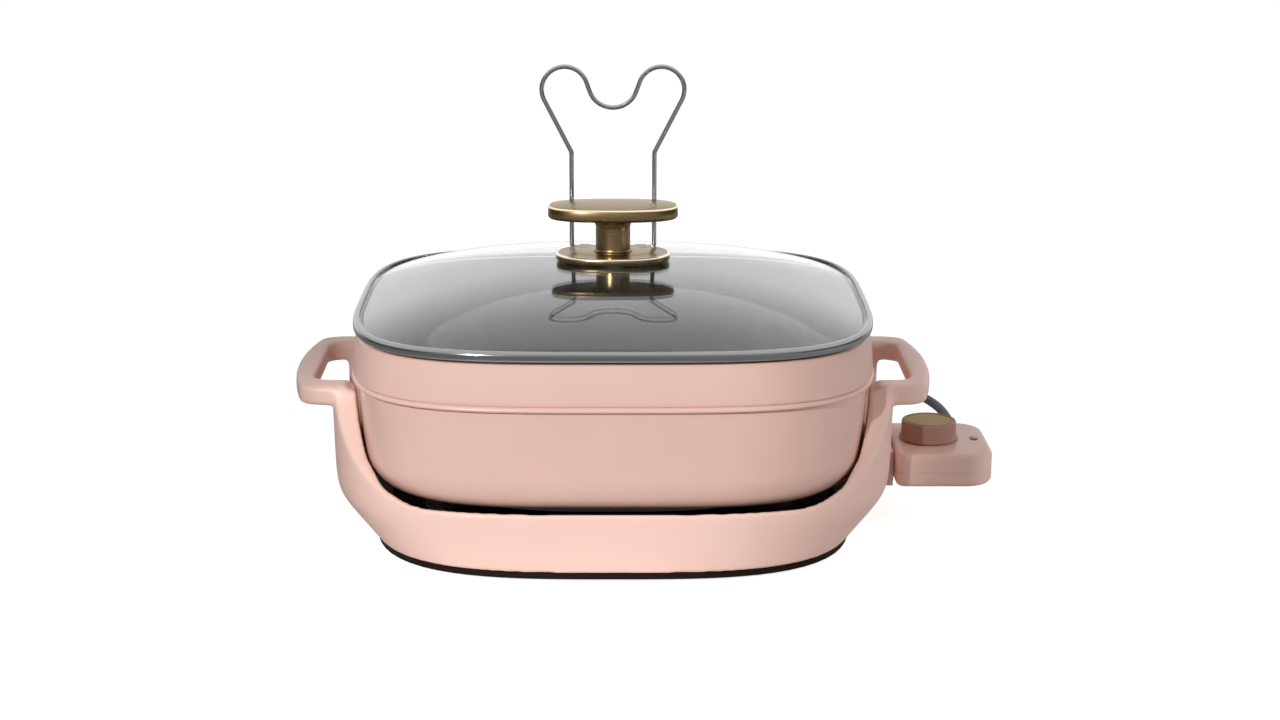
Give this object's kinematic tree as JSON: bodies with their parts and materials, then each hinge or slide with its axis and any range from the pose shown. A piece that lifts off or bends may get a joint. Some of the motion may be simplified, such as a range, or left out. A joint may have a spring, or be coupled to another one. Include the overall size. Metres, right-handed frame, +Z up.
{
  "type": "electric skillet",
  "caption": "Countertop electric skillet: squared nonstick pan in a cradle with loop handles, domed glass lid with a gold knob and folding wire stand, and a plug-in heat control.",
  "frame": {"origin": "on the table, under the middle of the pan", "axes": "+Z up, front towards -Y, heat control on the +X side"},
  "size_m": [0.4258, 0.3763, 0.2766],
  "materials": {
    "pink_moulding": "satin moulded plastic, pale pink",
    "pan_enamel": "cast aluminium, pale pink enamel outside and dark nonstick inside",
    "dark_plastic": "dark heat-resistant plastic",
    "foot_rubber": "black rubber",
    "fastener_steel": "zinc plated steel",
    "sheet_steel": "polished stainless steel",
    "ceramic": "glazed ceramic",
    "cast_aluminium": "die-cast aluminium",
    "heater_sheath": "dark oxidised sheath",
    "contact_metal": "plated brass",
    "glass": "clear tempered glass",
    "satin_brass": "satin gold plating",
    "lens": "tinted clear plastic",
    "cord_jacket": "slate grey flexible jacket"
  },
  "bodies": {
    "base": {"cradle": "pink_moulding", "handle_left": "pink_moulding", "handle_right": "pink_moulding", "handle_screws": "fastener_steel", "bottom_plate": "dark_plastic", "foot_ring": "foot_rubber", "base_screws": "fastener_steel", "pan_screws": "fastener_steel", "heat_shield": "sheet_steel", "insulating_washers": "ceramic", "pan": "pan_enamel", "heater_casting": "cast_aluminium", "heating_element": "heater_sheath", "terminal_pins": "contact_metal", "terminal_block": "ceramic", "socket_shroud": "pink_moulding"},
    "lid": {"lid_rim": "sheet_steel", "lid_glass": "glass", "knob_gaskets": "foot_rubber", "knob_base": "satin_brass", "knob_stem": "satin_brass", "knob_cap": "satin_brass", "knob_bolt": "fastener_steel"},
    "wire": {"wire_stand": "sheet_steel"},
    "control": {"control_lower_shell": "pink_moulding", "control_upper_shell": "pink_moulding", "control_screws": "fastener_steel", "control_nose": "pink_moulding", "contact_sleeves": "contact_metal", "probe": "sheet_steel", "thermostat": "dark_plastic", "indicator_lens": "lens", "indicator_lamp": "lens", "cord_strain_relief": "cord_jacket", "cord_run": "cord_jacket", "cord_coil": "cord_jacket", "cord_tie": "dark_plastic", "plug_body": "cord_jacket", "plug_blades": "contact_metal"},
    "dial": {"dial_knob": "pink_moulding", "dial_disc": "satin_brass", "dial_shaft": "fastener_steel"}
  },
  "joints": [
    {"name": "lid_lift", "type": "slide", "parent": "base", "child": "lid", "axis": [0, 0, 1], "range_m": [0, 0.15]},
    {"name": "wire_fold", "type": "hinge", "parent": "lid", "child": "wire", "pos_m": [0, 0.021, 0.16339], "axis": [-1, 0, 0], "range_deg": [0, 90]},
    {"name": "control_pull", "type": "slide", "parent": "base", "child": "control", "axis": [1, 0, 0], "range_m": [0, 0.09]},
    {"name": "dial_turn", "type": "hinge", "parent": "control", "child": "dial", "pos_m": [0.1958, 0, 0.05], "axis": [0, 0, -1], "range_deg": [0, 280]}
  ]
}
